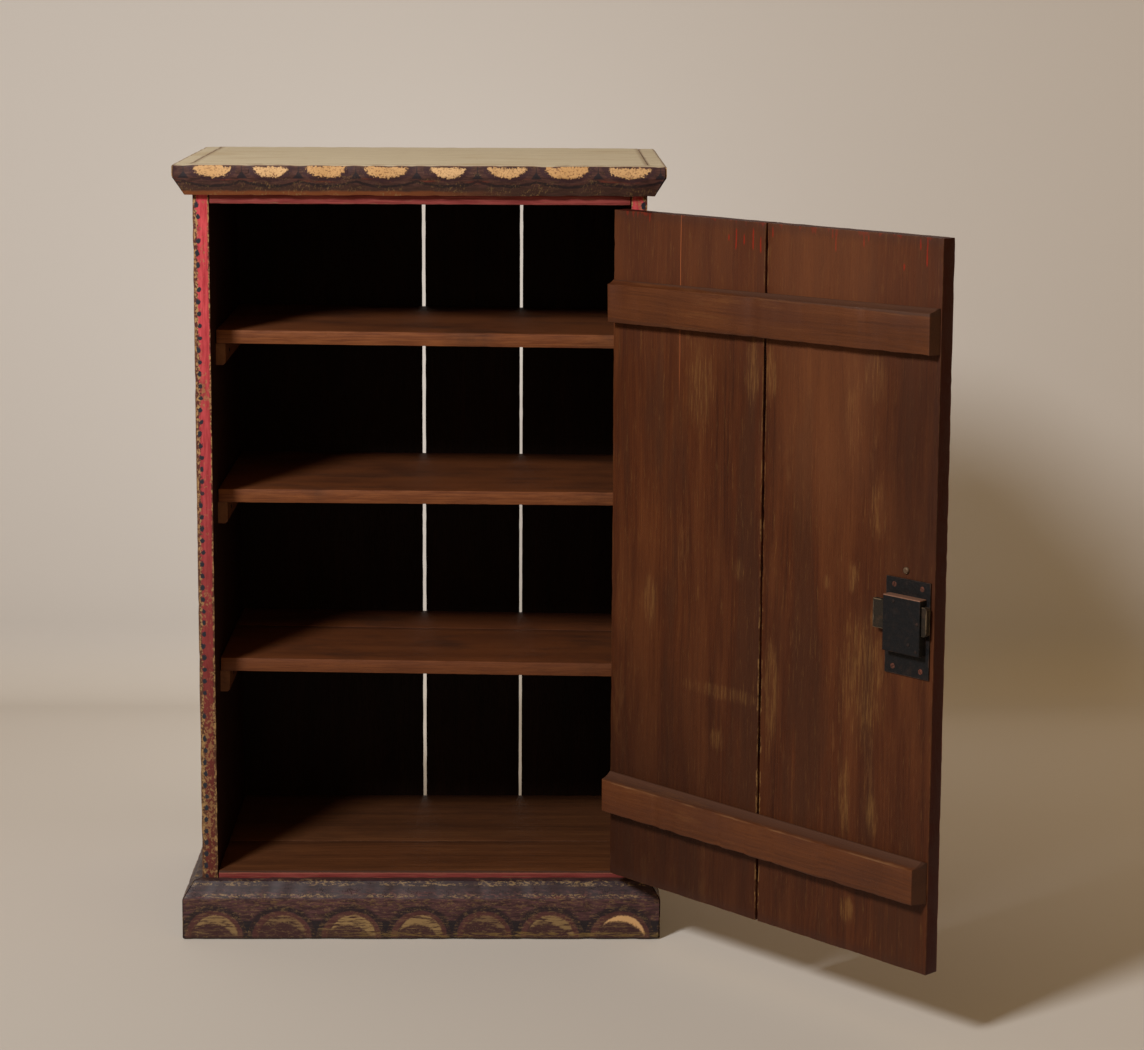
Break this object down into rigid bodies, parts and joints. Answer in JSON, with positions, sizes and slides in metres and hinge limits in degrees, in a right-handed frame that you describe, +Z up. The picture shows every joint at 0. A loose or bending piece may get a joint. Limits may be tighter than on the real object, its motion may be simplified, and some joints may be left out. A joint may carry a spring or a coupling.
{
  "type": "kas cupboard",
  "caption": "Small painted kas cupboard with a board carcass, loose shelves on cleats, mitred cornice and plinth, and a batten door with an iron rim lock.",
  "frame": {"origin": "on the floor, at mid-width, in the plane of the carcass's front edges", "axes": "+X to the right seen from the front, +Y to the back, +Z up; the front faces -Y"},
  "size_m": [0.9223, 0.7693, 1],
  "materials": {
    "case_paint": "worn red and brown paint over softwood",
    "cornice_paint": "painted scallops, worn satin",
    "plinth_paint": "painted scallops, worn satin",
    "top_paint": "faded olive paint with thin brown lines",
    "subtop_wood": "dark aged softwood, red front edge",
    "floor_wood": "dark aged softwood, red front edge",
    "shelf_wood": "dark aged softwood",
    "cleat_wood": "dark aged softwood",
    "back_wood": "dark aged softwood",
    "door_wood": "brown aged softwood, satin",
    "batten_wood": "brown aged softwood, satin",
    "lock_iron": "dark wrought sheet iron, worn",
    "lock_fastener_iron": "rusted iron",
    "hinge_iron": "dark iron",
    "nail_iron": "dark rusted iron"
  },
  "bodies": {
    "carcass": {"back_board_left": "back_wood", "back_board_middle": "back_wood", "back_board_right": "back_wood", "back_nails": "nail_iron", "carcass_nails": "case_paint", "cleat_lower_left": "cleat_wood", "cleat_lower_right": "cleat_wood", "cleat_middle_left": "cleat_wood", "cleat_middle_right": "cleat_wood", "cleat_nails": "nail_iron", "cleat_upper_left": "cleat_wood", "cleat_upper_right": "cleat_wood", "cornice_front": "cornice_paint", "cornice_left": "cornice_paint", "cornice_nails": "cornice_paint", "cornice_right": "cornice_paint", "floor_board_front": "floor_wood", "floor_board_rear": "floor_wood", "hinge_lower_carcass_leaf": "hinge_iron", "hinge_lower_pin": "hinge_iron", "hinge_screws_carcass": "hinge_iron", "hinge_upper_carcass_leaf": "hinge_iron", "hinge_upper_pin": "hinge_iron", "plinth_front": "plinth_paint", "plinth_left": "plinth_paint", "plinth_nails": "plinth_paint", "plinth_right": "plinth_paint", "shelf_lower_front": "shelf_wood", "shelf_lower_rear": "shelf_wood", "shelf_middle": "shelf_wood", "shelf_upper": "shelf_wood", "side_left": "case_paint", "side_right": "case_paint", "subtop": "subtop_wood", "top_board": "top_paint", "top_nails": "top_paint"},
    "door": {"batten_lower": "batten_wood", "batten_nails": "nail_iron", "batten_upper": "batten_wood", "door_plank_hinge": "door_wood", "door_plank_lock": "door_wood", "door_stud": "lock_fastener_iron", "hinge_lower_door_leaf": "hinge_iron", "hinge_screws_door": "hinge_iron", "hinge_upper_door_leaf": "hinge_iron", "lock_case": "lock_iron", "lock_plate": "lock_iron", "lock_rivets": "lock_fastener_iron", "lock_screws": "lock_fastener_iron"},
    "lock_bolt": {"lock_bolt": "lock_iron"}
  },
  "joints": [
    {"name": "door_hinge", "type": "hinge", "parent": "carcass", "child": "door", "pos_m": [0.2615, -0.005, 0], "axis": [0, 0, 1], "range_deg": [-133, 45]},
    {"name": "lock_bolt_slide", "type": "slide", "parent": "door", "child": "lock_bolt", "axis": [0.682, -0.7314, 0], "range_m": [0, 0.014]}
  ]
}
